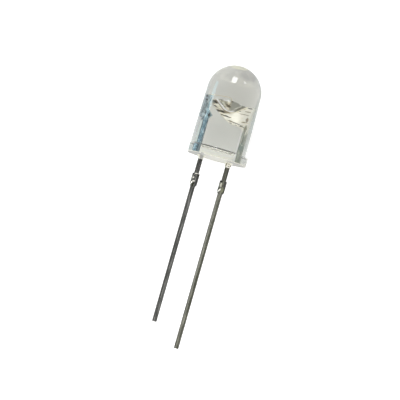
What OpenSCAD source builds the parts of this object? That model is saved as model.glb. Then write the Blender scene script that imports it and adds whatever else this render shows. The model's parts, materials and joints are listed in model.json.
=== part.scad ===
// Clear 5 mm through hole LED, lying as it comes to rest: on its flange and
// the side of its dome, with both leads pointing back and slightly up.
//
// Each piece is drawn upright first: Z runs along the lens axis, from the
// flange underside (Z = 0) up to the dome, and X runs from lead to lead.
// lay() then tips the whole part over onto the surface.

/* [Lens] */
// Height of the lens, from the flange underside to the dome top
lens_h = 8.65; // [6.8:0.05:10.8]
// Diameter of the straight stretch of the barrel
barrel_d = 5.1; // [4.9:0.1:6.5]
// Length of that straight stretch, from the top of the flange
barrel_land = 1.2; // [0.6:0.1:2.6]
// Draft of the barrel above it, per side, in degrees
barrel_draft = 1.05; // [0.2:0.05:2.5]
// How far the flange stands proud of the barrel
flange_lip = 0.28; // [0.24:0.01:0.6]
// Thickness of the flange
flange_t = 0.8; // [0.6:0.1:1.5]
// How far the flange's flat stands proud of the barrel
flat_lip = 0.02; // [0.01:0.01:0.15]
// Radius of the fillet between the barrel and the flange
barrel_fillet = 0.12; // [0.05:0.01:0.16]
// Radius of the flange's rounded edges
flange_edge = 0.12; // [0.04:0.01:0.16]
// How far the epoxy creeps down each lead
creep_h = 0.35; // [0.1:0.05:0.8]
// How far the creep spreads from a lead's corner, at the flange
creep_spread = 0.2; // [0.1:0.05:0.35]

/* [Leads] */
// Thickness of the leadframe's sheet
sheet_t = 0.4; // [0.3:0.02:0.5]
// Width of each lead
lead_w = 0.42; // [0.3:0.02:0.5]
// Distance between the leads' centre lines
pitch = 2.54; // [2.1:0.02:3.06]
// Length of the lead with the cup, below the flange
long_lead = 17.3; // [8:0.1:28]
// Length of the lead with the wire post, below the flange
short_lead = 15.5; // [6:0.1:26]
// Distance from the flange down to the cut tie-bar stubs
stub_drop = 1.73; // [0.8:0.01:3]
// Height of a stub
stub_h = 1.2; // [0.8:0.1:2]
// How far a stub sticks out on each side of its lead
stub_out = 0.11; // [0.05:0.01:0.3]
// Height of the slope at a stub's lower end
stub_slope = 0.18; // [0.05:0.01:0.4]

/* [Cup lead head] */
// Height of the head's lower edge above the flange underside
head_z = 3.24; // [2.44:0.02:3.44]
// Radius where the lower edge turns down into the lead
neck_r = 0.25; // [0.1:0.05:0.4]
// Radius where the lower edge turns up into the slope
belly_r = 0.8; // [0.3:0.05:1.1]
// How far in from the lead's edge that turn starts
belly_back = 0.48; // [0.42:0.02:0.7]
// Gap between the head's tip and the wire post
head_gap = 0.2; // [0.12:0.02:0.36]
// Height of the tip's top corner
tip_z = 5.04; // [4.94:0.02:5.14]
// Height of the tip's upright end, where the slope to the belly starts
tip_h = 0.48; // [0.3:0.02:0.6]
// Height of the shoulders beside the cup
shoulder_z = 5.14; // [5.04:0.02:5.24]
// Height of the outer top corner
corner_z = 5.32; // [5.2:0.02:5.44]
// How far that corner flares out past the lead's edge
corner_flare = 0.18; // [0:0.02:0.3]
// Length of the flare, down from the corner
flare_h = 0.6; // [0.3:0.05:1.2]

/* [Reflector cup] */
// Rise of the cup's crowned lip above the shoulders
lip_rise = 0.14; // [0.08:0.02:0.24]
// Width of each shoulder beside the cup's wall
shoulder_land = 0.05; // [0.02:0.01:0.1]
// Height at which the cup's outside leaves the face of the sheet
cone_z = 4.35; // [4.25:0.01:4.45]
// Slope of the cup's wall from the lens axis, in degrees
cone_half_angle = 40; // [33:1:42]
// Thickness of the cup's wall, measured level
cup_wall = 0.1; // [0.06:0.01:0.16]
// Height of the cup's floor above the flange underside
cup_floor_z = 4.7; // [4.62:0.01:4.8]

/* [Wire post] */
// Height of the post's top
post_z = 5.38; // [5.24:0.02:5.64]
// Height of the outer barb's lower edge
barb_z = 3.26; // [2.64:0.02:3.34]
// How far the barb reaches out past the lead's edge
barb_out = 0.43; // [0.1:0.01:0.5]
// How far the post leans in, from the barb up to the top
post_lean = 0.06; // [0:0.01:0.2]
// Height of the inner corner
elbow_z = 3.62; // [3.5:0.02:3.8]
// How far the inner corner reaches in past the lead's edge
elbow_in = 0.18; // [0.1:0.01:0.3]
// How far below the head's tip the slope above the inner corner ends
waist_drop = 0.42; // [0.1:0.02:0.7]
// How far the post's inner edge is set back from the lead's edge
waist_back = 0.2; // [0.1:0.01:0.3]

/* [Chip and wire] */
// Side of the chip
chip_w = 0.3; // [0.2:0.01:0.36]
// Height of the chip
chip_h = 0.2; // [0.1:0.01:0.26]
// Thickness of the conductive paste under the chip
paste_h = 0.02; // [0.01:0.005:0.04]
// How far the paste shows round the chip's corners
paste_edge = 0.03; // [0.01:0.005:0.04]
// Diameter of the bond wire
wire_d = 0.03; // [0.025:0.005:0.04]
// Diameter of the ball that bonds the wire to the chip
ball_d = 0.09; // [0.06:0.005:0.12]
// Height of that ball
ball_h = 0.03; // [0.02:0.005:0.04]
// Length of the pressed tail that bonds the wire to the post
stitch_l = 0.1; // [0.06:0.01:0.16]
// Thickness of that tail at its end
stitch_h = 0.012; // [0.01:0.002:0.02]
// Radius of the wire's bend above the chip
wire_bend_r = 0.2; // [0.1:0.02:0.4]
// Slope of the wire down to the post, in degrees
wire_slope = 8; // [4:1:16]

/* [Hidden] */
$fn = 96;
arc_steps = 8;
wire_sides = 8;
// Overlap of pieces of one solid, and overshoot of cuts
over = 0.01;

// Lens
barrel_r = barrel_d / 2;
flange_r = barrel_r + flange_lip;
flat_x = -(barrel_r + flat_lip);
land_top = flange_t + barrel_land;
// The dome is the sphere that the drafted barrel runs into without a step
dome_r = (barrel_r - (lens_h - land_top) * tan(barrel_draft))
         / (cos(barrel_draft) - (1 - sin(barrel_draft)) * tan(barrel_draft));
dome_z = lens_h - dome_r;
lead_corner_r = norm([lead_w, sheet_t]) / 2;

// Leads
lead_x = pitch / 2;
lead_in = lead_x - lead_w / 2;
lead_out = lead_x + lead_w / 2;

// Head of the cup lead: its slope leaves the tip's lower corner and runs
// into the belly's arc without a kink
post_in = lead_in + waist_back;
tip_x = -(post_in - head_gap);
tip_low_z = tip_z - tip_h;
belly_x = lead_in - belly_back;
belly_z = head_z + belly_r;
head_slope = asin(belly_r / norm([belly_x - tip_x, belly_z - tip_low_z]))
             - atan2(belly_z - tip_low_z, belly_x - tip_x);

// Reflector cup
cone_tan = tan(cone_half_angle);
cone_tip_z = cone_z - sheet_t / 2 / cone_tan;
function cone_r(z) = (z - cone_tip_z) * cone_tan;
shoulder_x = cone_r(shoulder_z) + shoulder_land;
// The lip's crown, seen from the front, is an arc over both shoulders
lip_z = shoulder_z + lip_rise;
lip_crown_r = (shoulder_x * shoulder_x + lip_rise * lip_rise) / 2 / lip_rise;

// Wire post
waist_z = tip_low_z - waist_drop;
post_out = lead_out + barb_out - post_lean;

// Chip and wire: the wire rises from the ball, bends over and runs down to
// the middle of the post's top
chip_z = cup_floor_z + paste_h;
ball_z = chip_z + chip_h;
stitch_x = -(post_in + post_out) / 2;
stitch_z = post_z + wire_d / 2;
wire_turn = 90 + wire_slope;
wire_run = (-stitch_x - wire_bend_r * (1 + sin(wire_slope))) / cos(wire_slope);
wire_rise_z = stitch_z + wire_run * sin(wire_slope) - wire_bend_r * cos(wire_slope);

// Rest: the surface touches the flange's rounded rim and the dome
rim_y = flange_r - flange_edge;
rim_z = flange_t - flange_edge;
rest_tilt = atan2(rim_y, dome_z - rim_z)
            - asin((dome_r - flange_edge) / norm([rim_y, dome_z - rim_z]));
rest_lift = rim_y * cos(rest_tilt) + rim_z * sin(rest_tilt) + flange_edge;
front_y = dome_z * cos(rest_tilt) + dome_r;
back_y = -long_lead * cos(rest_tilt) - sheet_t / 2 * sin(rest_tilt);

// Points on an arc about c, from angle a to angle b
function arc(c, r, a, b) =
    [for (i = [0:arc_steps]) let (t = a + (b - a) * i / arc_steps)
        [c[0] + r * cos(t), c[1] + r * sin(t)]];

// From upright to the pose at rest, centred on the middle of its footprint
module lay() {
    translate([0, -(front_y + back_y) / 2, rest_lift])
        rotate([-(90 + rest_tilt), 0, 0])
            children();
}

// Stands an outline drawn in X and Z up as a plate of the sheet's thickness
module plate() {
    rotate([90, 0, 0])
        linear_extrude(sheet_t, center = true)
            children();
}

// ---- Lens ----

module flange_section() {
    square([flange_r - flange_edge, flange_t]);
    translate([0, flange_edge])
        square([flange_r, flange_t - 2 * flange_edge]);
    for (z = [flange_edge, flange_t - flange_edge])
        translate([flange_r - flange_edge, z])
            circle(flange_edge);
}

// The straight land, and the drafted barrel up to where it meets the dome
module barrel_section() {
    polygon([
        [0, flange_t - over],
        [barrel_r, flange_t - over],
        [barrel_r, land_top],
        [dome_r * cos(barrel_draft), dome_z + dome_r * sin(barrel_draft)],
        [0, dome_z + dome_r * sin(barrel_draft)]
    ]);
}

module barrel_fillet_section() {
    difference() {
        translate([barrel_r - over, flange_t - over])
            square(barrel_fillet + over);
        translate([barrel_r + barrel_fillet, flange_t + barrel_fillet])
            circle(barrel_fillet);
    }
}

module casting() {
    difference() {
        rotate_extrude() flange_section();
        translate([flat_x - flange_r, -flange_r, -over])
            cube([flange_r, 2 * flange_r, flange_t + 2 * over]);
    }
    difference() {
        rotate_extrude() barrel_fillet_section();
        translate([flat_x - flange_r, -flange_r, 0])
            cube([flange_r, 2 * flange_r, land_top]);
    }
    rotate_extrude() barrel_section();
    intersection() {
        translate([0, 0, dome_z])
            sphere(dome_r);
        translate([0, 0, lens_h])
            cube(2 * dome_r, center = true);
    }
    for (side = [-1, 1])
        translate([side * lead_x, 0, -creep_h])
            cylinder(h = creep_h + over, r1 = lead_corner_r + over,
                     r2 = lead_corner_r + creep_spread);
}

module lens() {
    color([0.78, 0.78, 0.75, 0.35])
        lay()
            difference() {
                casting();
                cup_lead_form();
                post_lead_form();
                chip_form();
                die_attach_form();
                bond_wire_form();
            }
}

// ---- Leads ----

// One lead with its cut tie-bar stubs, from its end up into the lens
module lead_outline(length, top_z) {
    translate([-lead_w / 2, -length])
        square([lead_w, length + top_z]);
    stub_x = lead_w / 2 + stub_out;
    stub_bottom = -stub_drop - stub_h;
    polygon([
        [-stub_x, -stub_drop],
        [-stub_x, stub_bottom + stub_slope],
        [-lead_w / 2, stub_bottom],
        [lead_w / 2, stub_bottom],
        [stub_x, stub_bottom + stub_slope],
        [stub_x, -stub_drop]
    ]);
}

// The head rises from the lead and reaches across the lens axis
module head_outline() {
    polygon(concat(
        [[lead_out, head_z - neck_r],
         [lead_out, corner_z - flare_h],
         [lead_out + corner_flare, corner_z],
         [shoulder_x, shoulder_z],
         [-shoulder_x, shoulder_z],
         [tip_x, tip_z],
         [tip_x, tip_low_z]],
        arc([belly_x, belly_z], belly_r, 270 - head_slope, 270),
        arc([lead_in - neck_r, head_z - neck_r], neck_r, 90, 0)
    ));
}

// The cup's outside: a cone coined out of the sheet, with a crowned lip
module cup_outside() {
    intersection() {
        translate([0, 0, cone_tip_z])
            cylinder(h = lip_z - cone_tip_z, r1 = 0, r2 = cone_r(lip_z));
        translate([0, 0, lip_z - lip_crown_r])
            rotate([90, 0, 0])
                cylinder(h = 4 * cone_r(lip_z), r = lip_crown_r, center = true);
    }
}

module cup_inside() {
    top_z = lip_z + over;
    translate([0, 0, cup_floor_z])
        cylinder(h = top_z - cup_floor_z, r1 = cone_r(cup_floor_z) - cup_wall,
                 r2 = cone_r(top_z) - cup_wall);
}

module cup_lead_form() {
    difference() {
        union() {
            plate() {
                translate([lead_x, 0])
                    lead_outline(long_lead, head_z - neck_r + lead_w / 2);
                head_outline();
            }
            cup_outside();
        }
        cup_inside();
    }
}

// The post's head: a barb outside, an elbow inside and a flat top
module post_outline() {
    polygon([
        [-lead_in, barb_z],
        [-(lead_in - elbow_in), elbow_z],
        [-post_in, waist_z],
        [-post_in, post_z],
        [-post_out, post_z],
        [-(lead_out + barb_out), barb_z]
    ]);
}

module post_lead_form() {
    plate() {
        translate([-lead_x, 0])
            lead_outline(short_lead, barb_z + lead_w / 2);
        post_outline();
    }
}

module cup_lead() {
    color([0.74, 0.7, 0.6])
        lay()
            cup_lead_form();
}

module post_lead() {
    color([0.62, 0.68, 0.72])
        lay()
            post_lead_form();
}

// ---- Chip and wire ----

module chip_form() {
    translate([-chip_w / 2, -chip_w / 2, chip_z])
        cube([chip_w, chip_w, chip_h]);
}

module die_attach_form() {
    translate([0, 0, cup_floor_z])
        cylinder(h = paste_h, r = chip_w / sqrt(2) + paste_edge);
}

// A round tube along a path in X and Z, with a radius for each of its points
module tube(path, radii) {
    last = len(path) - 1;
    function heading(i) =
        let (d = path[min(i + 1, last)] - path[max(i - 1, 0)]) d / norm(d);
    rings = [for (i = [0:last], k = [0:wire_sides - 1])
        let (d = heading(i), t = 360 * (k + 0.5) / wire_sides)
            [path[i][0] - d[1] * radii[i] * cos(t),
             radii[i] * sin(t),
             path[i][1] + d[0] * radii[i] * cos(t)]];
    polyhedron(rings, concat(
        [[for (k = [0:wire_sides - 1]) k]],
        [for (i = [0:last - 1], k = [0:wire_sides - 1])
            let (a = i * wire_sides + k, b = i * wire_sides + (k + 1) % wire_sides)
                [a, a + wire_sides, b + wire_sides, b]],
        [[for (k = [wire_sides - 1:-1:0]) last * wire_sides + k]]
    ));
}

// Out of the ball, up, over the bend, down to the post and into the stitch
module bond_wire_form() {
    wire_r = wire_d / 2;
    path = concat(
        [[0, ball_z], [0, ball_z + ball_h], [0, ball_z + 1.5 * ball_h]],
        arc([-wire_bend_r, wire_rise_z], wire_bend_r, 0, wire_turn),
        [[stitch_x, stitch_z], [stitch_x - stitch_l, post_z + stitch_h / 2]]
    );
    last = len(path) - 1;
    tube(path, [for (i = [0:last])
        i < 2 ? ball_d / 2 : i < last ? wire_r : stitch_h / 2]);
}

module chip() {
    color([0.8, 0.62, 0.25])
        lay()
            chip_form();
}

module die_attach() {
    color([0.75, 0.75, 0.76])
        lay()
            die_attach_form();
}

module bond_wire() {
    color([0.9, 0.72, 0.3])
        lay()
            bond_wire_form();
}

lens();
cup_lead();
post_lead();
chip();
die_attach();
bond_wire();
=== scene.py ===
import json
from math import cos, degrees, exp, hypot, inf, pi, radians, sin, tan

import bmesh
import bpy
from mathutils import Matrix, Vector, noise


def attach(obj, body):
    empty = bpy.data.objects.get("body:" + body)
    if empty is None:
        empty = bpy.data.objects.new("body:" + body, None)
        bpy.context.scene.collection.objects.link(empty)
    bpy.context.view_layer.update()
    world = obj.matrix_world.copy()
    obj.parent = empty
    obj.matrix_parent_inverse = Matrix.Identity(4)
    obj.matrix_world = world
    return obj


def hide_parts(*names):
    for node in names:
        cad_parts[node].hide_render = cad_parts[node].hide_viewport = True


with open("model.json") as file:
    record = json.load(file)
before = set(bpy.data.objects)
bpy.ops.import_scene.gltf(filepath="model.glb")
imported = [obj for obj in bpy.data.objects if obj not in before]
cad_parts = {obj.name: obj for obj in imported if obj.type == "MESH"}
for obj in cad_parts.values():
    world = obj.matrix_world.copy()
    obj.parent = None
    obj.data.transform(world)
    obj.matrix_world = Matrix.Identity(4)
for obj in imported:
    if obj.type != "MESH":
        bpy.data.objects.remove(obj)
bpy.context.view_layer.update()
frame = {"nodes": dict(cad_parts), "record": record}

# The script's lengths are in millimetres, in the lamp's own upright frame: Z runs
# along the lens axis from the flange underside (Z = 0) up to the dome, X runs from
# the short lead to the long lead, and -Y faces up. LAMP takes that frame to the
# row's frame, in metres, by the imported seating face.
MM = 0.001
seat = next(m for m in frame["record"]["mounts"] if m["name"] == "seating_face")
SEAT = Vector(seat["pos_m"])
AXIS = -Vector(seat["axis"]).normalized()
ACROSS = Vector((1, 0, 0))
TURN = Matrix((ACROSS, AXIS.cross(ACROSS), AXIS)).transposed()
LAMP = Matrix.Translation(SEAT) @ TURN.to_4x4() @ Matrix.Scale(MM, 4)
TO_LAMP = LAMP.inverted()


# ---- Camera ----

# The view looks straight down, rolled so that the lamp leans to the right
ROLL = radians(15.9)
FOCAL = 500.0
SENSOR = 36.0
VIEW_WIDTH = 35.84
# Where the middle of the view lies from the middle of the flange underside
VIEW_RIGHT = -1.36
VIEW_UP = -3.68
# What the camera sees lies between these distances, in metres
CLIP_START = 0.01
CLIP_END = 10


def add_camera():
    data = bpy.data.cameras.new("camera")
    data.lens = FOCAL
    data.sensor_width = SENSOR
    data.clip_start = CLIP_START
    data.clip_end = CLIP_END
    camera = bpy.data.objects.new("camera", data)
    bpy.context.scene.collection.objects.link(camera)
    right = Vector((cos(ROLL), sin(ROLL), 0))
    up = Vector((-sin(ROLL), cos(ROLL), 0))
    back = Vector((0, 0, 1))
    place = right * VIEW_RIGHT + up * VIEW_UP + back * (FOCAL / SENSOR * VIEW_WIDTH)
    turn = Matrix((right, up, back)).transposed()
    camera.matrix_world = Matrix.Translation(SEAT + place * MM) @ turn.to_4x4()
    bpy.context.scene.camera = camera


# ---- Mesh helpers ----

# Edges past these angles are shaded sharp, and rolled
SHADED_SHARP = radians(35)
ROLLED_SHARP = radians(40)
# Faces that turn by less than this are joined
FLAT_ANGLE = radians(1)
# Points closer than this are one point
WELD = 1e-5
# A length that counts as none
TINY = 1e-4
ALONG_X = 0
ALONG_Z = 2


def mesh_object(name, verts, faces, smooth_angle=SHADED_SHARP):
    """A piece from points in the lamp's frame."""
    mesh = bpy.data.meshes.new(name)
    mesh.from_pydata([LAMP @ Vector(v) for v in verts], [], faces)
    mesh.validate()
    bm = bmesh.new()
    bm.from_mesh(mesh)
    bmesh.ops.recalc_face_normals(bm, faces=bm.faces)
    bm.to_mesh(mesh)
    bm.free()
    mesh.shade_smooth()
    mesh.set_sharp_from_angle(angle=smooth_angle)
    obj = bpy.data.objects.new(name, mesh)
    bpy.context.scene.collection.objects.link(obj)
    return obj


def node_shape(node):
    """The node's own shape as clean faces, in the lamp's frame, to be worked on."""
    source = frame["nodes"][node].data
    bm = bmesh.new()
    verts = [bm.verts.new(TO_LAMP @ v.co) for v in source.vertices]
    for polygon in source.polygons:
        bm.faces.new([verts[i] for i in polygon.vertices])
    bmesh.ops.remove_doubles(bm, verts=bm.verts, dist=WELD)
    bmesh.ops.dissolve_limit(bm, angle_limit=FLAT_ANGLE, verts=bm.verts, edges=bm.edges)
    return bm


def shape_object(name, bm):
    """A piece from a shape in the lamp's frame, which it uses up."""
    verts = [v.co.copy() for v in bm.verts]
    bm.verts.index_update()
    # Sorted, as the cuts leave the faces in another order in each run
    faces = sorted([v.index for v in f.verts] for f in bm.faces)
    bm.free()
    return mesh_object(name, verts, faces)


def sharp_edges(bm):
    return [e for e in bm.edges if e.is_manifold and e.is_convex
            and e.calc_face_angle() > ROLLED_SHARP]


def cut(bm, axis, start, end, step, low=-inf):
    """Cuts faces that reach above a height, along even planes square to an axis."""
    normal = Vector([float(i == axis) for i in range(3)])
    for i in range(int((end - start) / step) + 1):
        faces = [f for f in bm.faces if max(v.co.z for v in f.verts) > low]
        # Each edge and point once, but not as a set, whose order changes from run to run
        edges = dict.fromkeys(e for f in faces for e in f.edges)
        verts = dict.fromkeys(v for f in faces for v in f.verts)
        bmesh.ops.bisect_plane(bm, geom=[*faces, *edges, *verts], dist=WELD,
                               plane_no=normal, plane_co=normal * (start + i * step))


def even(start, end, count):
    """Even steps beyond the start, up to the end."""
    return [start + (end - start) * i / count for i in range(1, count + 1)]


def arc(cx, cz, r, a, b, steps):
    """Points on an arc about (cx, cz), from angle a to angle b in degrees."""
    return [(cx + r * cos(radians(a + (b - a) * i / steps)),
             cz + r * sin(radians(a + (b - a) * i / steps))) for i in range(steps + 1)]


def rough(x, z, seed):
    """Smooth noise over a face, between -1 and 1."""
    return noise.noise(Vector((x, z, seed)))


# ---- Lens ----

LENS_H = 8.65
BARREL_R = 2.55
LAND_TOP = 2.0
DRAFT = radians(1.05)
FLANGE_R = 2.83
FLANGE_T = 0.8
FLAT_X = 2.57
FILLET = 0.12
EDGE = 0.12
FOOT_EDGE = 0.05
FOOT_R = FLANGE_R - FOOT_EDGE
# The flat runs on through the fillet, this far from the axis
FILLET_FLAT_X = FLAT_X - 0.1 * EDGE
DOME_R = ((BARREL_R - (LENS_H - LAND_TOP) * tan(DRAFT))
          / (cos(DRAFT) - (1 - sin(DRAFT)) * tan(DRAFT)))
DOME_Z = LENS_H - DOME_R
LEAD_X = 1.27
LEAD_HALF = 0.21
SHEET_HALF = 0.2

# How far the epoxy creeps down the short and the long lead, how far it spreads round
# it, and the power by which it thins
CREEP_H = {-1: 0.38, 1: 0.5}
CREEP_SPREAD = 0.26
CREEP_CURVE = 2.2
LEAST_CREEP = 0.01

# Frosted foot of the flange, and a line of painted shade along the flange's top edge, on its upward
# side only
RIM_H = 0.14
SHADE_LINE_LOW = 0.74
SHADE_LINE_HIGH = 0.86
SHADE_LINE_HALF = 1.6

TURNS = 360
ANGLES = [2 * pi * (k + 0.5) / TURNS for k in range(TURNS)]
# The underside's rings of points lie closest between these radii, round the leads
CLOSE_FROM = 0.7
CLOSE_TO = 1.82
# Steps between the rings on the straight land and on the drafted barrel
LAND_STEP = 0.1
DRAFT_STEP = 0.25
LENS_SHARP = radians(30)
# The lens's material slots after the clear epoxy
FROSTED = 1
MATT = 2
SHADE_LINE = 3


def creep(x, y):
    """How far the epoxy hangs below the flange there."""
    side = -1 if x < 0 else 1
    away = hypot(max(abs(x - side * LEAD_X) - LEAD_HALF, 0), max(abs(y) - SHEET_HALF, 0))
    return CREEP_H[side] * max(0, 1 - away / CREEP_SPREAD) ** CREEP_CURVE


def reach(t, r, flat):
    """Radius of a turned surface where the flat may cut it off."""
    return min(r, flat / -cos(t)) if cos(t) < 0 else r


def lens_rings():
    """Rings of points from the underside up, as the radius and the height at each angle.

    The underside has no heights yet, since the epoxy may hang down there."""
    rings = []
    under = even(0, CLOSE_FROM, 7) + even(CLOSE_FROM, CLOSE_TO, 56) + even(CLOSE_TO, FOOT_R, 9)
    for r in under:
        share = r / FOOT_R
        rings.append([(share * reach(t, FOOT_R, FLAT_X - FOOT_EDGE), None) for t in ANGLES])
    # The flange's wall, rounded at both ends
    wall = arc(FOOT_EDGE, FOOT_EDGE, FOOT_EDGE, 270, 180, 10)[1:]
    wall += arc(EDGE, FLANGE_T - EDGE, EDGE, 180, 90, 10)
    for inset, z in wall:
        rings.append([(reach(t, FLANGE_R - inset, FLAT_X - inset), z) for t in ANGLES])
    for r, z in arc(BARREL_R + FILLET, FLANGE_T + FILLET, FILLET, 270, 180, 10):
        rings.append([(reach(t, r, FILLET_FLAT_X), z) for t in ANGLES])
    # The land, the drafted barrel and the dome
    upper = [(BARREL_R, FLANGE_T + FILLET + LAND_STEP * i) for i in range(1, 11)]
    upper += [(BARREL_R - i * DRAFT_STEP * tan(DRAFT), LAND_TOP + i * DRAFT_STEP)
              for i in range(17)]
    upper += arc(0, DOME_Z, DOME_R, degrees(DRAFT), 90, 64)[:-1]
    rings += [[point] * TURNS for point in upper]
    return rings


def make_lens():
    """One turned casting with its flat, its crept roots and its four finishes, one a painted line
    of shade.
    """
    bottom = 0
    first = 1
    verts = [(0, 0, 0)]
    for ring in lens_rings():
        for t, (r, z) in zip(ANGLES, ring):
            x, y = r * cos(t), r * sin(t)
            verts.append((x, y, -creep(x, y) if z is None else z))
    top = len(verts)
    verts.append((0, 0, LENS_H))
    last = top - TURNS
    faces = [(bottom, first + k, first + (k + 1) % TURNS) for k in range(TURNS)]
    for a in range(first, last, TURNS):
        b = a + TURNS
        for k in range(TURNS):
            n = (k + 1) % TURNS
            faces.append((a + k, b + k, b + n, a + n))
    faces += [(last + k, top, last + (k + 1) % TURNS) for k in range(TURNS)]
    obj = mesh_object("epoxy_lens", verts, faces, LENS_SHARP)
    for polygon in obj.data.polygons:
        spot = TO_LAMP @ polygon.center
        if spot.z < RIM_H and (creep(spot.x, spot.y) > LEAST_CREEP or spot.z > TINY):
            polygon.material_index = FROSTED
        elif spot.z < TINY:
            polygon.material_index = MATT
        # The band of painted shade, on the side that faces up
        elif SHADE_LINE_LOW < spot.z < SHADE_LINE_HIGH and abs(spot.x) < SHADE_LINE_HALF and spot.y < 0:
            polygon.material_index = SHADE_LINE
    return obj


# ---- Leadframe ----

EDGE_ROLL = 0.035
CONE_Z = 4.35
CONE_HALF = radians(40)
CONE_TIP = CONE_Z - SHEET_HALF / tan(CONE_HALF)
STUB_TOP = -1.73
STUB_END = -2.93
# Spacing of the cuts through the stubs, and the reach that still counts as a stub
STUB_CUT = 0.1
STUB_MARGIN = 0.01
# How fast the stubs' wings thin outwards
STUB_SHEAR = 3.2
# A face whose normal is this near to Y belongs to the sheet's flat sides
FACING = 0.999
# The creases fan out: their slope is this share of the height, less this much
FAN_GROWTH = 0.12
FAN_LEVEL = 0.34
# Relief on the head's sides: heights, and distances from the cup or the lower edge
BURR_H = 0.03
BURR_REACH = 0.05
ROPE_H = 0.02
ROPE_IN = 0.1
ROPE_W = 0.05
GROOVE_D = 0.022
GROOVE_IN = 0.22
GROOVE_W = 0.035
CREASE_H = 0.011
CALM_CUP = 0.1
CALM_EDGE = 0.25
# Relief on the post's sides: broad dents and a finer grain
DENT_H = 0.008
GRAIN_H = 0.003
# The lower edge of the head, from its tip to the neck
LOWER_EDGE = ([(-1.06, 4.56)] + arc(0.58, 4.04, 0.8, 224.7, 270, 8)
              + arc(0.81, 2.99, 0.25, 90, 0, 6) + [(1.06, 0.0)])


def edge_distance(x, z):
    """Distance of a point on the head from its lower edge."""
    best = inf
    for (ax, az), (bx, bz) in zip(LOWER_EDGE, LOWER_EDGE[1:]):
        dx, dz = bx - ax, bz - az
        t = max(0, min(1, ((x - ax) * dx + (z - az) * dz) / (dx * dx + dz * dz)))
        best = min(best, hypot(x - ax - t * dx, z - az - t * dz))
    return best


def bell(value, middle, width):
    """1 at the middle, falling off smoothly to both sides."""
    return exp(-((value - middle) / width) ** 2)


def coining(x, z):
    """Relief that the punch leaves on the head's faces, in millimetres outward."""
    outside = (hypot(x, SHEET_HALF) - (z - CONE_TIP) * tan(CONE_HALF)) * cos(CONE_HALF)
    beyond = max(outside, 0)
    burr = BURR_H * beyond / BURR_REACH * exp(1 - beyond / BURR_REACH)
    edge = edge_distance(x, z)
    rope = ROPE_H * (0.75 + 0.5 * rough(x * 9, z * 9, 5.5)) * bell(edge, ROPE_IN, ROPE_W)
    groove = GROOVE_D * bell(edge, GROOVE_IN, GROOVE_W)
    # Creases that fan out from under the cup
    across = z - abs(x) * (FAN_GROWTH * z - FAN_LEVEL)
    wander = rough(x * 1.5, across * 3, 3.1)
    creases = rough(x * 1.2, across * 7 + 0.8 * wander, 7.7)
    creases += 0.4 * rough(x * 2.4, across * 16, 1.7)
    calm = min(1, beyond / CALM_CUP) * min(1, edge / CALM_EDGE)
    return burr + rope - groove + CREASE_H * creases * calm


def stamping(x, z):
    """Relief of the post's faces, in millimetres outward."""
    return DENT_H * rough(x * 3.5, z * 4.5, 9.1) + GRAIN_H * rough(x * 9, z * 8, 2.6)


def shape_stub(v, lead_x):
    """Draws the sheared wings of the tie-bar stubs thinner towards their ends."""
    out = abs(v.co.x - lead_x) - LEAD_HALF
    if out > -STUB_MARGIN and STUB_END - STUB_MARGIN < v.co.z < STUB_TOP + STUB_MARGIN:
        v.co.y *= 1 - STUB_SHEAR * max(out, 0)


def refine_lead(node, name, lead_x, relief, low, high, left, right, step):
    """A lead with rolled edges, sheared stubs and the relief of its head."""
    bm = node_shape(node)
    bmesh.ops.bevel(bm, geom=sharp_edges(bm), offset=EDGE_ROLL, offset_type="OFFSET",
                    segments=3, profile=0.5, affect="EDGES", clamp_overlap=True)
    cut(bm, ALONG_Z, low, high, step, low)
    cut(bm, ALONG_X, left, right, step, low)
    cut(bm, ALONG_Z, STUB_END + STUB_CUT / 2, STUB_TOP, STUB_CUT)
    for v in bm.verts:
        shape_stub(v, lead_x)
        if abs(abs(v.co.y) - SHEET_HALF) > TINY or not low < v.co.z < high:
            continue
        if all(abs(f.normal.y) > FACING for f in v.link_faces):
            side = 1 if v.co.y > 0 else -1
            v.co.y += side * relief(v.co.x, v.co.z)
    return shape_object(name, bm)


# ---- Chip, paste and wire ----

CUP_FLOOR = 4.7
CHIP_LOW = 4.72
CHIP_HALF = 0.15
CHIP_TOP = 4.92
WIRE_R = 0.015
BEND_R = 0.2
BEND_Z = 5.3835
BEND_TURN = 98
POST_TOP = 5.38
STITCH_X = -1.555
# Points round the chip and the paste, and round the wire
RING_POINTS = 64
WIRE_POINTS = 16
WIRE_SHARP = radians(60)


def loft(name, rings, smooth_angle=SHADED_SHARP):
    """A closed piece through rings of points, capped at both ends."""
    turns = len(rings[0])
    last = (len(rings) - 1) * turns
    faces = [tuple(range(turns)), tuple(range(last, last + turns))]
    for a in range(0, last, turns):
        for k in range(turns):
            n = (k + 1) % turns
            faces.append((a + k, a + n, a + turns + n, a + turns + k))
    return mesh_object(name, [p for ring in rings for p in ring], faces, smooth_angle)


def rounded_square(half, z, power, uneven=0.0):
    """A level ring between a circle (power 2) and a square, with an uneven edge."""
    ring = []
    for k in range(RING_POINTS):
        t = 2 * pi * k / RING_POINTS
        r = half / (abs(cos(t)) ** power + abs(sin(t)) ** power) ** (1 / power)
        r += uneven * rough(2 * cos(t), 2 * sin(t), 4.4)
        ring.append((r * cos(t), r * sin(t), z))
    return ring


def make_chip():
    """A sawn die: a wide foot, a step left by the saw, and a round bond pad."""
    return loft("sawn_chip", [rounded_square(*ring) for ring in (
        (CHIP_HALF, CHIP_LOW, 16), (CHIP_HALF, 4.845, 16), (0.141, 4.852, 16),
        (0.139, 4.91, 16), (0.134, 4.915, 12), (0.06, 4.915, 2), (0.056, CHIP_TOP, 2))])


def make_paste():
    """Paste squeezed out round the die, with a fillet up its sides."""
    return loft("paste_fillet", [rounded_square(*ring) for ring in (
        (0.235, CUP_FLOOR, 3, 0.012), (0.238, 4.706, 3, 0.014), (0.222, 4.716, 4, 0.014),
        (0.19, 4.728, 6, 0.01), (0.165, 4.746, 9, 0.006), (0.1535, 4.764, 14),
        (0.151, 4.762, 16), (0.151, CHIP_LOW - 0.0005, 16))])


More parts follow.
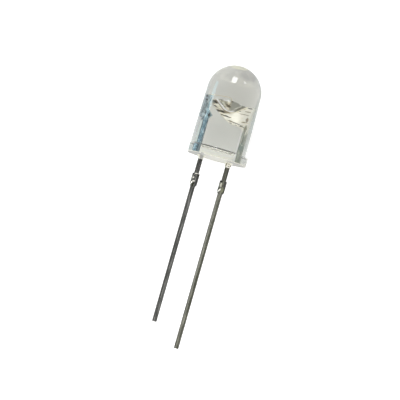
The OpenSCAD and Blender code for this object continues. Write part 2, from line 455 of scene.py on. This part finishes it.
def make_wire():
    """Ball, rise, bend, run and a stitch pressed flat on the post."""
    # Each point has its X and Z, and the wire's half height and half width there
    path = [(0, CHIP_TOP + dz, r, r) for dz, r in (
        (0, 0.034), (0.004, 0.042), (0.012, 0.045), (0.022, 0.043), (0.03, 0.034),
        (0.035, 0.022), (0.045, 0.016), (0.08, WIRE_R))]
    path += [(x, z, WIRE_R, WIRE_R) for x, z in arc(-BEND_R, BEND_Z, BEND_R, 0, BEND_TURN, 24)]
    path += [(STITCH_X, POST_TOP + 0.015, WIRE_R, WIRE_R),
             (STITCH_X - 0.03, POST_TOP + 0.011, 0.0105, 0.02),
             (STITCH_X - 0.06, POST_TOP + 0.008, 0.0075, 0.026),
             (STITCH_X - 0.09, POST_TOP + 0.0065, 0.006, 0.026),
             (STITCH_X - 0.1, POST_TOP + 0.006, 0.005, 0.02)]
    rings = []
    for i, (x, z, tall, wide) in enumerate(path):
        before, after = path[max(i - 1, 0)], path[min(i + 1, len(path) - 1)]
        ahead = Vector((after[0] - before[0], after[1] - before[1])).normalized()
        rings.append([(x - ahead.y * tall * cos(t), wide * sin(t), z + ahead.x * tall * cos(t))
                      for t in (2 * pi * k / WIRE_POINTS for k in range(WIRE_POINTS))])
    return loft("drawn_wire", rings, WIRE_SHARP)


# ---- Tones and patches ----

# Tones painted on the plating in the epoxy, standing in for light: dark and brown are painted shade
# and dark reflections, cream, white and bright are painted highlights and warm reflections
DARK = (0.07, 0.066, 0.05)
BROWN = (0.4, 0.35, 0.25)
CREAM = (0.95, 0.9, 0.72)
WHITE = (1.0, 0.98, 0.9)
BRIGHT = (1, 1, 1)
BURR_SHADE_GREY = (0.42, 0.41, 0.36)
SHADED_WALL_GREY = (0.62, 0.62, 0.58)
FLANK_HIGHLIGHT_BLUE = (0.8, 0.9, 0.88)
# Painted shade in the creases' folds and painted highlights on the plating between them
CREASE_SHADE_AND_HIGHLIGHTS = ((0.36, DARK), (0.425, BROWN), (0.48, CREAM), (0.53, WHITE))
# Painted highlights and reflections blotched over the cup wall's lit side
LIT_WALL_BLOTCHES = ((0.4, (0.36, 0.32, 0.22)), (0.52, (0.64, 0.6, 0.46)), (0.62, (1, 0.95, 0.8)))
NECK_STREAKS = ((0.35, (0.2, 0.23, 0.19)), (0.5, (0.4, 0.43, 0.37)), (0.65, (0.75, 0.76, 0.68)))
# The post's blues are a painted reflection of cool light, darker on the stem
POST_REFLECTION_BLUES = ((0.4, (0.06, 0.09, 0.1)), (0.48, (0.26, 0.37, 0.41)),
              (0.55, (0.52, 0.68, 0.74)), (0.62, (0.9, 0.98, 1.0)))
STEM_REFLECTION_BLUES = ((0.4, (0.02, 0.045, 0.06)), (0.48, (0.12, 0.19, 0.24)),
              (0.55, (0.3, 0.42, 0.48)), (0.62, (0.62, 0.74, 0.8)))
# The bare leads: dark, middle and light streaks, the painted shade of their sheared edges, and how
# much darker the painted edge shade and the stretch above the stubs are
EDGE_SHADE_TONE = (0.03, 0.03, 0.028)
EDGE_SHADE = 0.6
ROOT_DIM = 0.3
GREY = ((0.05, 0.052, 0.048), (0.14, 0.142, 0.134), (0.36, 0.36, 0.34))
OLIVE = ((0.052, 0.053, 0.04), (0.15, 0.152, 0.122), (0.38, 0.37, 0.3))
# How metallic a tone is: bright plating less so than dark
PLATING = ((0.6, 0.6), (0.95, 0.4))
# The tones whose normals start to turn towards the dome, and turn fully
GLINT = (0.7, 0.95)
# How far they turn: on the sheet, more on the cup's wall, and on the bare post lead
SHEET_TILT = 0.27
CUP_TILT = 0.57
POST_TILT = 0.42
# Where one finish gives way to the next, in Z: at the epoxy, from the neck to the head,
# from the post's head to its stem, and at both ends of the stem's flank with its painted highlight
ENTRY = (-0.2, 0.1)
NECK_TOP = (2.8, 3.3)
STEM_TOP = (3.5, 3.0)
FLANK_TOP = (3.1, 2.9)
FLANK_FOOT = (0.9, 1.0)
# The face's lean, the glints of the bare post lead and the dim stretch above its stubs
# start in Z
LEAN_FOOT = (3.0, 3.3)
BARE = (0.0, -0.5)
ABOVE_STUBS = (STUB_TOP - 0.5, STUB_TOP)
# The same in X: the head's side towards the neck, the neck's band of painted highlight, and the
# stem's flank with its painted highlight
NECK_SIDE = (-0.2, 0.5)
NECK_HIGHLIGHT_BAND = (1.22, 1.17)
FLANK_SIDE = (-1.462, -1.474)
# Also in X, where the band round the cup turns from painted shade to a painted highlight, the burr
# from a painted highlight to painted shade, and the cup's wall from its lit side to its shaded side
BAND_TURN = (0.0, 0.15)
BURR_TURN = (0.2, 0.4)
WALL_TURN = (0.15, -0.1)
# A bare lead's painted edge shade starts this far from its middle
EDGE_SHADE_START = (0.07, 0.2)
# On the neck's side the creases are painted lighter, as a painted highlight, and the plating is at
# least this metallic
NECK_SIDE_HIGHLIGHT = 0.12
NECK_SIDE_METAL = 0.6
# Away from the cup's wall: where the band round it ends, where the burr ends, and how
# much further out both reach at the sides, this far from the axis
BAND_END = (0.15, 0.08)
BURR_END = (0.045, 0.025)
SIDE_REACH = 0.1
SIDES = (0.0, 0.4)
# The cup's wall stands this far out of the sheet where it takes over
PROUD = (SHEET_HALF + 0.04, SHEET_HALF + 0.08)
# Bump of the head, in millimetres: the creases, and the lean of the neck's side
CREASE_BUMP = 0.02
LEAN = 0.16
LEAN_TOP = 4.0
LEAN_FROM = 0.8
EPOXY_IOR = 1.56
# Depth of the finest grain that shows on metal, in metres
GRAIN_DEPTH = 4e-6

# Soft patches, most of them painted shade and painted highlights: X, Z, half sizes, turn in degrees
# and tone
# Painted light in the clear epoxy: painted shade on the dome right of its top, a warm painted
# highlight across its top, painted shade down both sides of the barrel and at both ends of the
# flange, and a painted highlight across the flange
CLEAR_SHADE_AND_HIGHLIGHTS = (
    (0.9, 8.0, 0.9, 0.7, 0, (0.46, 0.46, 0.45)),
    (-0.2, 8.42, 0.85, 0.25, 3, (1, 1, 0.72)),
    (-2.36, 3.7, 0.2, 3.2, 0, (0.51, 0.545, 0.56)),
    (2.36, 3.7, 0.2, 3.2, 0, (0.47, 0.52, 0.49)),
    (0.1, 0.45, 1.9, 0.42, 3, (1, 1, 0.93)),
    (-2.5, 0.45, 0.3, 0.42, 0, (0.5, 0.6, 0.63)),
    (2.5, 0.5, 0.3, 0.35, 0, (0.55, 0.57, 0.58)),
)
ROOT_MARKS = (
    (-1.24, -0.12, 0.17, 0.3, 0, (0.4, 0.4, 0.38)),
    (1.3, -0.12, 0.17, 0.2, 0, (0.88, 0.86, 0.74)),
    (1.1, -0.26, 0.24, 0.05, 85, (0.16, 0.15, 0.09)),
    (1.3, -0.14, 0.11, 0.035, 5, (0.22, 0.2, 0.13)),
    (1.33, -0.36, 0.05, 0.05, 0, (0.22, 0.2, 0.13)),
    (1.49, -0.33, 0.16, 0.045, 88, (0.28, 0.26, 0.18)),
)
UNDERSIDE_MARKS = ((0, 0, 1.2, 1, 0, (0.9, 0.89, 0.82)),)
# Painted shade and painted highlights on the head's flat side: dark and brown streaks beside white
# and cream glints, with a row of them along its lower edge
HEAD_SHADE_AND_HIGHLIGHTS = (
    (-0.90, 4.88, 0.22, 0.15, 0, DARK),
    (-0.80, 4.66, 0.13, 0.045, -10, WHITE),
    (-0.88, 4.50, 0.17, 0.045, -30, DARK),
    (-0.39, 4.35, 0.15, 0.05, -10, WHITE),
    (-0.42, 4.19, 0.27, 0.045, -5, DARK),
    (-0.33, 4.03, 0.15, 0.035, -8, CREAM),
    (-0.03, 3.87, 0.28, 0.05, -5, DARK),
    (0.40, 4.46, 0.14, 0.08, 20, WHITE),
    (0.57, 4.60, 0.16, 0.035, 20, DARK),
    (1.01, 4.46, 0.36, 0.035, 6, BROWN),
    (1.18, 4.78, 0.2, 0.05, 12, BROWN),
    (-0.95, 5.16, 0.16, 0.04, 5, WHITE),
    (0.98, 5.12, 0.2, 0.06, 10, WHITE),
    (1.35, 5.29, 0.3, 0.03, 0, DARK),
    (1.28, 5.13, 0.2, 0.045, 12, DARK),
    (1.53, 5.23, 0.1, 0.05, 0, WHITE),
    (1.28, 4.06, 0.1, 0.24, 0, BROWN),
    (1.33, 3.2, 0.12, 0.4, 0, (0.36, 0.35, 0.25)),
    (1.05, 3.38, 0.2, 0.05, -20, (0.36, 0.35, 0.25)),
    (0.55, 3.50, 0.5, 0.03, -8, DARK),
    (0.12, 3.45, 0.09, 0.03, -12, WHITE),
    (0.29, 3.38, 0.09, 0.03, -10, DARK),
    (0.46, 3.35, 0.09, 0.03, -8, WHITE),
    (0.63, 3.33, 0.09, 0.03, -4, DARK),
    (0.8, 3.33, 0.09, 0.03, 0, WHITE),
    (0.97, 3.34, 0.09, 0.03, 5, DARK),
)
# Painted shade and painted highlights on the cup's wall and lip
CUP_SHADE_AND_HIGHLIGHTS = (
    (-0.08, 4.76, 0.15, 0.09, 0, (0.2, 0.17, 0.11)),
    (-0.13, 4.98, 0.06, 0.1, 0, CREAM),
    (-0.35, 5.2, 0.32, 0.07, 6, BRIGHT),
    (0.1, 5.27, 0.06, 0.05, 0, DARK),
    (0.67, 5.18, 0.12, 0.05, 0, BRIGHT),
    (0.5, 4.88, 0.36, 0.035, 47, (1, 1, 0.96)),
)
# A darker patch on the neck, and painted highlights along its outer edge
NECK_PATCH_AND_HIGHLIGHTS = (
    (1.38, 1.55, 0.16, 0.4, 0, (0.27, 0.34, 0.3)),
    (1.42, 1.78, 0.04, 0.06, 0, WHITE),
    (1.44, 2.95, 0.04, 0.4, 0, (1, 0.98, 0.86)),
)
# Painted shade in dark patches and a painted highlight in a light one, on the post
POST_SHADE_AND_HIGHLIGHT = (
    (-1.72, 5.22, 0.14, 0.1, 0, (0.08, 0.1, 0.11)),
    (-1.68, 4.9, 0.12, 0.07, 0, (0.06, 0.09, 0.1)),
    (-1.6, 3.5, 0.2, 0.16, 0, (0.7, 0.84, 0.9)),
    (-1.15, 3.55, 0.07, 0.16, 0, (0.05, 0.06, 0.06)),
)
# Dark and light lines along the leads, then on the stubs painted highlights in the light strokes
# and painted shade in the dark ones
LEAD_LINES_AND_STUB_LIGHT = (
    (-1.37, -9.5, 0.05, 7.5, 0, (0.07, 0.07, 0.067)),
    (1.18, -9.5, 0.05, 7.5, 0, (0.24, 0.24, 0.21)),
    (1.36, -9.5, 0.07, 7.5, 0, (0.07, 0.072, 0.052)),
    (-1.49, -2.15, 0.24, 0.035, 85, (0.5, 0.5, 0.46)),
    (-1.25, -1.73, 0.18, 0.04, 6, WHITE),
    (-1.31, -1.82, 0.2, 0.03, 4, (0.02, 0.02, 0.02)),
    (-1.33, -1.88, 0.15, 0.025, 5, (0.5, 0.5, 0.47)),
    (-1.3, -1.95, 0.12, 0.03, 5, (0.03, 0.03, 0.03)),
    (-1.41, -2.12, 0.08, 0.05, 60, WHITE),
    (-1.3, -2.43, 0.13, 0.035, 15, WHITE),
    (-1.48, -2.62, 0.22, 0.06, 72, WHITE),
    (-1.29, -2.74, 0.24, 0.09, 80, (0.025, 0.028, 0.012)),
    (1.45, -2.0, 0.3, 0.06, 88, (0.09, 0.09, 0.085)),
    (1.36, -2.55, 0.14, 0.22, 0, (0.22, 0.23, 0.15)),
    (1.05, -2.1, 0.22, 0.035, 85, (0.4, 0.4, 0.35)),
    (1.12, -1.82, 0.12, 0.05, 0, (0.03, 0.03, 0.025)),
    (1.15, -2.12, 0.22, 0.06, 85, (0.85, 0.84, 0.7)),
    (1.31, -2.18, 0.09, 0.04, 80, (0.05, 0.055, 0.025)),
    (1.1, -2.62, 0.22, 0.06, 60, WHITE),
)
# How finely and how far the patches' outlines wander
DRIFT_SCALE = 6.0
DRIFT = (0.16, 0, 0.1)
# Where a patch ends and where it's full, in half sizes. It goes right through in Y.
PATCH_END = 1.3
PATCH_FULL = 0.6
PATCH_DEPTH = 100


# ---- Materials ----

class Tree:
    """A material's nodes, added in few words."""

    def __init__(self, name):
        self.material = bpy.data.materials.new(name)
        self.material.use_nodes = True
        self.tree = self.material.node_tree
        self.shader = self.tree.nodes["Principled BSDF"]

    def add(self, kind, settings=None, **inputs):
        made = self.tree.nodes.new("ShaderNode" + kind)
        for key, value in (settings or {}).items():
            setattr(made, key, value)
        for key, value in inputs.items():
            self.put(made, key.replace("_", " "), value)
        return made

    def put(self, target, key, value):
        socket = target.inputs[int(key) if key.isdigit() else key]
        if isinstance(value, bpy.types.NodeSocket):
            self.tree.links.new(value, socket)
        elif isinstance(value, bpy.types.Node):
            self.tree.links.new(value.outputs[0], socket)
        else:
            socket.default_value = value

    def math(self, operation, a, b=0.0):
        return self.add("Math", {"operation": operation}, **{"0": a, "1": b}).outputs[0]

    def lamp_point(self):
        """The point in the lamp's frame, in millimetres."""
        place = self.add("TexCoord").outputs["Object"]
        turn = TO_LAMP.to_3x3().normalized().to_euler()
        return self.add("Mapping", Vector=place, Rotation=turn, Location=TO_LAMP.translation,
                        Scale=(1 / MM, 1 / MM, 1 / MM)).outputs[0]

    def lamp_axes(self):
        return self.add("SeparateXYZ", Vector=self.lamp_point()).outputs

    def noise(self, at, stretch=(1, 1, 1), detail=3.0, roughness=0.55):
        place = self.add("VectorMath", {"operation": "MULTIPLY"}, **{"0": at, "1": stretch})
        return self.add("TexNoise", Vector=place, Scale=1.0, Detail=detail,
                        Roughness=roughness).outputs["Fac"]

    def step(self, value, low, high):
        """0 below the low value, 1 above the high one, smooth between them."""
        made = self.add("MapRange", {"interpolation_type": "SMOOTHSTEP"}, Value=value)
        self.put(made, "From Min", low)
        self.put(made, "From Max", high)
        return made.outputs["Result"]

    def ramp(self, fac, stops):
        made = self.add("ValToRGB", Fac=fac)
        while len(made.color_ramp.elements) < len(stops):
            made.color_ramp.elements.new(0.5)
        for element, (place, color) in zip(made.color_ramp.elements, stops):
            element.position = place
            element.color = (*color, 1) if hasattr(color, "__len__") else (color,) * 3 + (1,)
        return made.outputs[0]

    def mix(self, fac, a, b):
        made = self.add("Mix", {"data_type": "RGBA"})
        self.put(made, "Factor", fac)
        for socket, value in ((made.inputs[6], a), (made.inputs[7], b)):
            if isinstance(value, bpy.types.NodeSocket):
                self.tree.links.new(value, socket)
            else:
                socket.default_value = (*value, 1)
        return made.outputs[2]


def epoxy_material(name, low, high, clarity, roughness, grain=(0.5, 0.5, 0.5), spots=()):
    """Cast epoxy, between two tones in soft clouds."""
    m = Tree(name)
    clouds = m.noise(m.lamp_point(), grain, detail=2)
    color = marks(m, m.ramp(clouds, [(0.35, low), (0.65, high)]), spots)
    m.put(m.shader, "Base Color", color)
    m.put(m.shader, "Transmission Weight", clarity)
    m.put(m.shader, "IOR", EPOXY_IOR)
    m.put(m.shader, "Roughness", roughness)
    return m.material


def marks(m, color, spots):
    """Lays soft patches over a colour, their outlines a little uneven."""
    point = m.lamp_point()
    drift = m.add("TexNoise", Vector=point, Scale=DRIFT_SCALE, Detail=3.0).outputs["Color"]
    drift = m.add("VectorMath", {"operation": "SUBTRACT"}, **{"0": drift, "1": (0.5, 0.5, 0.5)})
    drift = m.add("VectorMath", {"operation": "MULTIPLY"}, **{"0": drift, "1": DRIFT})
    place = m.add("VectorMath", {"operation": "ADD"}, **{"0": point, "1": drift})
    for x, z, long, wide, turn, tone in spots:
        local = m.add("Mapping", {"vector_type": "TEXTURE"}, Vector=place, Location=(x, 0, z),
                      Rotation=(0, radians(-turn), 0), Scale=(long, PATCH_DEPTH, wide))
        away = m.add("VectorMath", {"operation": "LENGTH"}, Vector=local).outputs["Value"]
        color = m.mix(m.step(away, PATCH_END, PATCH_FULL), color, tone)
    return color


def lens_materials():
    """The lens's finishes, in the order of its material slots, the last a painted line of shade."""
    return (
        # The clear epoxy carries painted shade and painted highlights
        epoxy_material("clear_epoxy", (0.78, 0.78, 0.735), (0.83, 0.83, 0.785),
                       clarity=1.0, roughness=0.0, spots=CLEAR_SHADE_AND_HIGHLIGHTS),
        epoxy_material("frosted_epoxy", (0.78, 0.76, 0.62), (1, 1, 0.94),
                       clarity=0.1, roughness=0.35, grain=(9, 4, 9), spots=ROOT_MARKS),
        epoxy_material("matt_epoxy", (0.5, 0.5, 0.48), (0.62, 0.62, 0.59),
                       clarity=0.3, roughness=0.6, grain=(6, 3, 3), spots=UNDERSIDE_MARKS),
        # A dark band that paints shade along the flange's top edge
        epoxy_material("painted_shade_line", (0.02, 0.02, 0.02), (0.06, 0.06, 0.06),
                       clarity=1.0, roughness=0.1))


def glint(m, color, tilt):
    """The normal, turned towards the dome where the plating is bright, to catch the key."""
    bright = m.step(m.add("RGBToBW", Color=color), *GLINT)
    away = m.add("VectorMath", {"operation": "SCALE"}, **{"0": tuple(AXIS)})
    m.put(away, "Scale", m.math("MULTIPLY", bright, tilt))
    return m.add("VectorMath", {"operation": "ADD"},
                 **{"0": m.add("NewGeometry").outputs["Normal"], "1": away})


def outer_metal(m, axes, lead_x, tones):
    """The bare lead: drawn lengthwise, with painted shade at its sheared edges, and darker above
    its stubs.
    """
    streaks = m.noise(m.lamp_point(), (16, 16, 0.8), detail=4)
    color = m.ramp(streaks, [(0.34, tones[0]), (0.5, tones[1]), (0.66, tones[2])])
    side = m.math("ABSOLUTE", m.math("SUBTRACT", axes["X"], lead_x))
    # Painted shade towards the sheared edges
    edge = m.step(side, *EDGE_SHADE_START)
    near = m.step(axes["Z"], *ABOVE_STUBS)
    edge_shade_and_dim = m.math("ADD", m.math("MULTIPLY", edge, EDGE_SHADE), m.math("MULTIPLY", near, ROOT_DIM))
    return marks(m, m.mix(edge_shade_and_dim, color, EDGE_SHADE_TONE), LEAD_LINES_AND_STUB_LIGHT), streaks


def crease_lines(m, axes, aside, right):
    """Creases that fan out from under the cup, as in the head's relief, painted lighter on the
    neck's side as a painted highlight.
    """
    slope = m.math("SUBTRACT", m.math("MULTIPLY", axes["Z"], FAN_GROWTH), FAN_LEVEL)
    across = m.math("SUBTRACT", axes["Z"], m.math("MULTIPLY", aside, slope))
    place = m.add("CombineXYZ", X=axes["X"], Y=axes["Y"], Z=across).outputs[0]
    lines = m.noise(place, (1.3, 1.0, 8.0), detail=4, roughness=0.6)
    return m.math("ADD", lines, m.math("MULTIPLY", right, NECK_SIDE_HIGHLIGHT))


def creased_face(m, axes, aside, lines):
    """The head's flat side: painted shade in the folds between painted highlights on the plating,
    and the burr.
    """
    face = marks(m, m.ramp(lines, CREASE_SHADE_AND_HIGHLIGHTS), HEAD_SHADE_AND_HIGHLIGHTS)
    radius = m.math("SQRT", m.math("ADD", m.math("MULTIPLY", axes["X"], axes["X"]),
                                   SHEET_HALF ** 2))
    wall = m.math("MULTIPLY", m.math("SUBTRACT", axes["Z"], CONE_TIP), tan(CONE_HALF))
    # The bands round the cup hug it at the bottom and reach further out at the sides
    beside = m.math("SUBTRACT", m.math("SUBTRACT", radius, wall),
                    m.math("MULTIPLY", m.step(aside, *SIDES), SIDE_REACH))
    # The band: painted shade in brown on the tip's side, a painted highlight in cream on the neck's
    band = m.mix(m.step(axes["X"], *BAND_TURN), BROWN, CREAM)
    face = m.mix(m.step(beside, *BAND_END), face, band)
    # The burr next to it: a painted highlight on the tip's side, painted shade in grey on the
    # neck's
    burr = m.mix(m.step(axes["X"], *BURR_TURN), BRIGHT, BURR_SHADE_GREY)
    return m.mix(m.step(beside, *BURR_END), face, burr)


def cup_wall(m, axes):
    """The cup's smoother outside: lit and blotched with painted highlights on the tip's side, an
    even painted shade on the neck's.
    """
    blotches = m.noise(m.lamp_point(), (3.5, 2.0, 3.5), detail=2)
    left = m.step(axes["X"], *WALL_TURN)
    return marks(m, m.mix(left, SHADED_WALL_GREY, m.ramp(blotches, LIT_WALL_BLOTCHES)), CUP_SHADE_AND_HIGHLIGHTS)


def neck_face(m, axes, streaks):
    """The neck: streaked lengthwise, with a painted highlight as a bright band along its inner
    side.
    """
    neck = marks(m, m.ramp(streaks, NECK_STREAKS), NECK_PATCH_AND_HIGHLIGHTS)
    return m.mix(m.step(axes["X"], *NECK_HIGHLIGHT_BAND), neck, BRIGHT)


def cup_lead_normal(m, axes, color, lines, right, proud):
    """The creases' bump, the face's lean on the neck's side, and the plating's glints."""
    lean = m.math("MULTIPLY", m.math("SUBTRACT", LEAN_TOP, axes["Z"]), LEAN)
    outward = m.math("MAXIMUM", m.math("SUBTRACT", axes["X"], LEAN_FROM), 0.0)
    outward = m.math("MULTIPLY", m.math("POWER", outward, 2.0), LEAN)
    lean = m.math("MULTIPLY", m.math("ADD", lean, outward), right)
    height = m.math("ADD", m.math("MULTIPLY", lines, CREASE_BUMP), lean)
    # The cup's wall faces away from the dome, so its glints need more turn than the
    # sheet's, and where the face leans they need none
    tilt = m.math("ADD", m.math("MULTIPLY", proud, CUP_TILT), SHEET_TILT)
    leaning = m.math("MULTIPLY", right, m.step(axes["Z"], *LEAN_FOOT))
    tilt = m.math("MULTIPLY", tilt, m.math("SUBTRACT", 1.0, leaning))
    return m.add("Bump", Height=height, Distance=MM, Normal=glint(m, color, tilt))


def cup_lead_material():
    """The cup lead: head, cup and neck in the epoxy, their colours carrying painted shade and
    highlights, drawn olive grey outside.
    """
    m = Tree("plated_lead")
    axes = m.lamp_axes()
    outside, streaks = outer_metal(m, axes, LEAD_X, OLIVE)
    aside = m.math("ABSOLUTE", axes["X"])
    right = m.step(axes["X"], *NECK_SIDE)
    lines = crease_lines(m, axes, aside, right)
    proud = m.step(m.math("ABSOLUTE", axes["Y"]), *PROUD)
    head = m.mix(proud, creased_face(m, axes, aside, lines), cup_wall(m, axes))
    inside = m.mix(m.step(axes["Z"], *NECK_TOP), neck_face(m, axes, streaks), head)
    color = m.mix(m.step(axes["Z"], *ENTRY), outside, inside)
    m.put(m.shader, "Base Color", color)
    plating = m.ramp(m.add("RGBToBW", Color=color), PLATING)
    least = m.math("MULTIPLY", right, NECK_SIDE_METAL)
    m.put(m.shader, "Metallic", m.math("MAXIMUM", plating, least))
    m.put(m.shader, "Roughness", m.ramp(lines, [(0.3, 0.32), (0.7, 0.5)]))
    m.put(m.shader, "Normal", cup_lead_normal(m, axes, color, lines, right, proud))
    return m.material


def post_lead_material():
    """The post lead: mottled blue in the epoxy, a painted reflection of cool light, with painted
    shade and highlights; drawn grey outside.
    """
    m = Tree("plated_post")
    axes = m.lamp_axes()
    outside, streaks = outer_metal(m, axes, -LEAD_X, GREY)
    mottle = m.noise(m.lamp_point(), (6, 3, 5), detail=5, roughness=0.7)
    grain = m.noise(m.lamp_point(), (18, 6, 2.2), detail=4)
    mottle = m.math("ADD", m.math("MULTIPLY", mottle, 0.35), m.math("MULTIPLY", grain, 0.65))
    head = marks(m, m.ramp(mottle, POST_REFLECTION_BLUES), POST_SHADE_AND_HIGHLIGHT)
    inside = m.mix(m.step(axes["Z"], *STEM_TOP), head, m.ramp(mottle, STEM_REFLECTION_BLUES))
    # The stem's flank gets a painted highlight
    flank_highlight = m.math("MULTIPLY", m.step(axes["Z"], *FLANK_TOP), m.step(axes["Z"], *FLANK_FOOT))
    flank_highlight = m.math("MULTIPLY", m.step(axes["X"], *FLANK_SIDE), flank_highlight)
    inside = m.mix(flank_highlight, inside, FLANK_HIGHLIGHT_BLUE)
    color = m.mix(m.step(axes["Z"], *ENTRY), outside, inside)
    m.put(m.shader, "Base Color", color)
    m.put(m.shader, "Metallic", m.ramp(m.add("RGBToBW", Color=color), PLATING))
    m.put(m.shader, "Roughness", m.ramp(mottle, [(0.3, 0.45), (0.7, 0.28)]))
    tilt = m.math("MULTIPLY", m.step(axes["Z"], *BARE), POST_TILT)
    m.put(m.shader, "Normal", m.add("Bump", Height=streaks, Strength=0.5, Distance=GRAIN_DEPTH,
                                    Normal=glint(m, color, tilt)))
    return m.material


def fine_material(name, stretch, stops, metallic, roughness):
    """A small part's finish: tones along one grain, with the roughness to match."""
    m = Tree(name)
    grain = m.noise(m.lamp_point(), stretch, detail=4)
    m.put(m.shader, "Base Color", m.ramp(grain, stops))
    m.put(m.shader, "Metallic", metallic)
    m.put(m.shader, "Roughness", m.ramp(grain, [(0.3, roughness[0]), (0.7, roughness[1])]))
    m.put(m.shader, "Normal", m.add("Bump", Height=grain, Distance=GRAIN_DEPTH))
    return m.material


# ---- Surroundings ----

# Half the floor's width, in metres
FLOOR_HALF = 0.6
# The floor's glow, as the camera sees it and as glass and metal show it
FLOOR_GLOW = 0.5
GLASS_GLOW = 0.335
# The world's strength, the way to its darker part, and where that starts and is full
WORLD = 1.02
DIM_TOWARD = Vector((0.45, 0, 0.89)).normalized()
DIM = (0.45, 0.45, 0.45)
DIM_START = 0.3
DIM_FULL = 0.95


def add_floor():
    corners = [(x * FLOOR_HALF, y * FLOOR_HALF, 0) for x, y in ((-1, -1), (1, -1), (1, 1), (-1, 1))]
    mesh = bpy.data.meshes.new("floor")
    mesh.from_pydata(corners, [], [(0, 1, 2, 3)])
    floor = bpy.data.objects.new("floor", mesh)
    bpy.context.scene.collection.objects.link(floor)
    m = Tree("floor")
    m.put(m.shader, "Base Color", (0.8, 0.8, 0.8, 1))
    m.put(m.shader, "Roughness", 1.0)
    m.put(m.shader, "Specular IOR Level", 0.0)
    path = m.add("LightPath").outputs
    mirrored = m.math("MAXIMUM", path["Is Glossy Ray"], path["Is Transmission Ray"])
    mirrored = m.math("MULTIPLY", mirrored, GLASS_GLOW)
    seen = m.math("MULTIPLY", path["Is Camera Ray"], FLOOR_GLOW)
    m.put(m.shader, "Emission Color", (1, 1, 1, 1))
    m.put(m.shader, "Emission Strength", m.math("MAXIMUM", seen, mirrored))
    mesh.materials.append(m.material)


def add_world():
    """White all round, a little darker overhead and to the right."""
    world = bpy.data.worlds.new("world")
    bpy.context.scene.world = world
    world.use_nodes = True
    nodes, links = world.node_tree.nodes, world.node_tree.links
    place = nodes.new("ShaderNodeTexCoord")
    toward = nodes.new("ShaderNodeVectorMath")
    toward.operation = "DOT_PRODUCT"
    toward.inputs[1].default_value = DIM_TOWARD
    ramp = nodes.new("ShaderNodeValToRGB")
    links.new(place.outputs["Generated"], toward.inputs[0])
    links.new(toward.outputs["Value"], ramp.inputs["Fac"])
    stops = ramp.color_ramp.elements
    stops[0].position = DIM_START
    stops[0].color = (1, 1, 1, 1)
    stops[1].position = DIM_FULL
    stops[1].color = (*DIM, 1)
    links.new(ramp.outputs["Color"], nodes["Background"].inputs["Color"])
    nodes["Background"].inputs["Strength"].default_value = WORLD


def add_softbox(name, toward, distance, size, radiance, color=(1, 1, 1)):
    """A light that the dome sees in that direction of the lamp's frame, in metres."""
    data = bpy.data.lights.new(name, "AREA")
    data.shape = "RECTANGLE"
    data.size, data.size_y = size
    data.energy = radiance * pi * size[0] * size[1]
    data.color = color
    lamp = bpy.data.objects.new(name, data)
    bpy.context.scene.collection.objects.link(lamp)
    away = (TURN @ Vector(toward)).normalized()
    level = AXIS.cross(away).normalized()
    turn = Matrix((level, away.cross(level), away)).transposed()
    lamp.matrix_world = (Matrix.Translation(LAMP @ Vector((0, 0, DOME_Z)) + away * distance)
                         @ turn.to_4x4())


add_camera()
add_floor()
add_world()
add_softbox("key", (-0.186, -0.62, 0.76), distance=0.25, size=(0.08, 0.11), radiance=11)
add_softbox("small", (0.49, -0.486, 0.731), distance=0.25, size=(0.0325, 0.0425), radiance=9)
add_softbox("rear", (0, -0.7, -0.7), distance=0.25, size=(0.35, 0.09), radiance=1.8,
            color=(1, 0.97, 0.88))
add_softbox("low", (-1, -0.045, 0.06), distance=0.03, size=(0.0085, 0.018), radiance=3.0,
            color=(0.4, 0.8, 1))

lens = make_lens()
for material in lens_materials():
    lens.data.materials.append(material)
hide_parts("lens")
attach(lens, "root")

# The trade calls the lead with the cup the anvil, and the other one the post
anvil = refine_lead("cup_lead", "cup_lead_frame", LEAD_X, coining,
                    low=2.9, high=5.35, left=-1.1, right=1.7, step=0.028)
anvil.data.materials.append(cup_lead_material())
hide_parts("cup_lead")
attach(anvil, "root")

post = refine_lead("post_lead", "post_lead_frame", -LEAD_X, stamping,
                   low=0.0, high=5.4, left=-2.0, right=-0.85, step=0.045)
post.data.materials.append(post_lead_material())
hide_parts("post_lead")
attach(post, "root")

for piece, node, slot, material in (
        (make_chip(), "chip", "chip",
         fine_material("chip", (9, 9, 30), [(0.35, (0.3, 0.24, 0.13)), (0.65, (0.62, 0.5, 0.28))],
                       metallic=0.3, roughness=(0.25, 0.45))),
        (make_paste(), "die_attach", "silver_paste",
         fine_material("silver_paste", (40, 40, 40), [(0.35, (0.42, 0.42, 0.42)),
                                                      (0.65, (0.82, 0.82, 0.83))],
                       metallic=0.6, roughness=(0.45, 0.75))),
        (make_wire(), "bond_wire", "gold_wire",
         fine_material("gold_wire", (3, 60, 60), [(0.35, (0.84, 0.68, 0.38)),
                                                  (0.65, (0.97, 0.83, 0.52))],
                       metallic=1.0, roughness=(0.18, 0.3)))):
    piece.data.materials.append(material)
    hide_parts(node)
    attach(piece, "root")

scene = bpy.context.scene
scene.view_settings.view_transform = "Standard"
